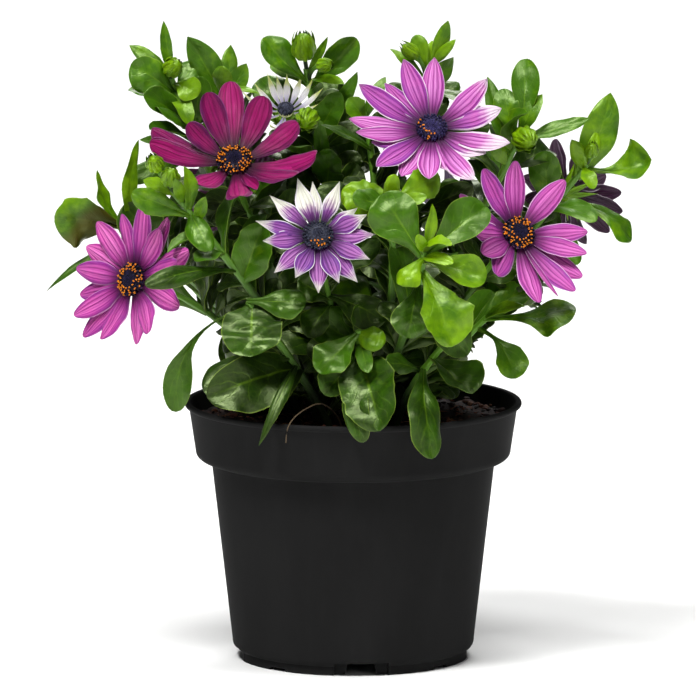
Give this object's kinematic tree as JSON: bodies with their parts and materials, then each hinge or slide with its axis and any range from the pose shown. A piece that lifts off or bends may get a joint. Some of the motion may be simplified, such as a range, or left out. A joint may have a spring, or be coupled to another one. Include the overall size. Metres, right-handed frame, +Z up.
{
  "type": "potted osteospermum",
  "caption": "Bushy flowering osteospermum with daisy heads in pink, magenta, lilac and white, planted in peat in a black plastic nursery pot with a notched foot.",
  "frame": {"origin": "on the ground, at the middle of the pot's foot, which is under the middle of the plant's spread", "axes": "+Z up; +X to the right and -Y towards the viewer when the plant's best side is seen"},
  "size_m": [0.231, 0.1606, 0.2466],
  "materials": {
    "pot_plastic": "thin black moulded plastic, satin",
    "peat": "damp crumbly peat with reddish-brown fibres",
    "dry_stalk": "dry bleached stalk",
    "leaf": "glossy fleshy leaf, lighter at the shoot tips",
    "petal_pink": "satin pink-magenta petal with fine darker stripes",
    "petal_magenta": "velvety deep magenta petal",
    "petal_white_purple": "white pointed petal that turns purple towards its base",
    "petal_lilac": "lilac petal with a pale margin",
    "petal_cream": "narrow cream petal, still half rolled",
    "petal_dusky": "dusky purple-grey underside of a petal",
    "floret": "dense blue-black florets with orange anthers",
    "floret_grey": "dense slate-grey florets"
  },
  "bodies": {
    "root": {"pot": "pot_plastic", "soil": "peat", "dry_strand": "dry_stalk", "bloom_left_petals": "petal_pink", "bloom_left_disc": "floret", "bloom_magenta_petals": "petal_magenta", "bloom_magenta_disc": "floret", "bloom_white_petals": "petal_white_purple", "bloom_white_disc": "floret_grey", "bloom_lilac_petals": "petal_lilac", "bloom_lilac_disc": "floret", "bloom_right_petals": "petal_pink", "bloom_right_disc": "floret", "bloom_half_open_petals": "petal_cream", "bloom_half_open_disc": "floret_grey", "bloom_turned_away_petals": "petal_dusky", "bloom_turned_away_disc": "floret", "bloom_back_left_petals": "petal_pink", "bloom_back_left_disc": "floret", "bloom_back_right_petals": "petal_white_purple", "bloom_back_right_disc": "floret_grey", "shoot_left_front": "leaf", "shoot_left_low": "leaf", "shoot_left_middle": "leaf", "shoot_left_back": "leaf", "shoot_magenta": "leaf", "shoot_top_left": "leaf", "shoot_top_middle": "leaf", "shoot_middle": "leaf", "shoot_lilac": "leaf", "shoot_centre": "leaf", "shoot_top_right": "leaf", "shoot_right_upper": "leaf", "shoot_right_top": "leaf", "shoot_right": "leaf", "shoot_right_low": "leaf", "shoot_rosette": "leaf", "shoot_white": "leaf", "shoot_skirt_left": "leaf", "shoot_skirt_middle": "leaf", "shoot_skirt_right": "leaf", "shoot_back_left": "leaf", "shoot_back_middle": "leaf", "shoot_back_right": "leaf", "shoot_back_low_left": "leaf", "shoot_back_low_right": "leaf", "shoot_side_left": "leaf", "shoot_side_right": "leaf"}
  },
  "joints": []
}
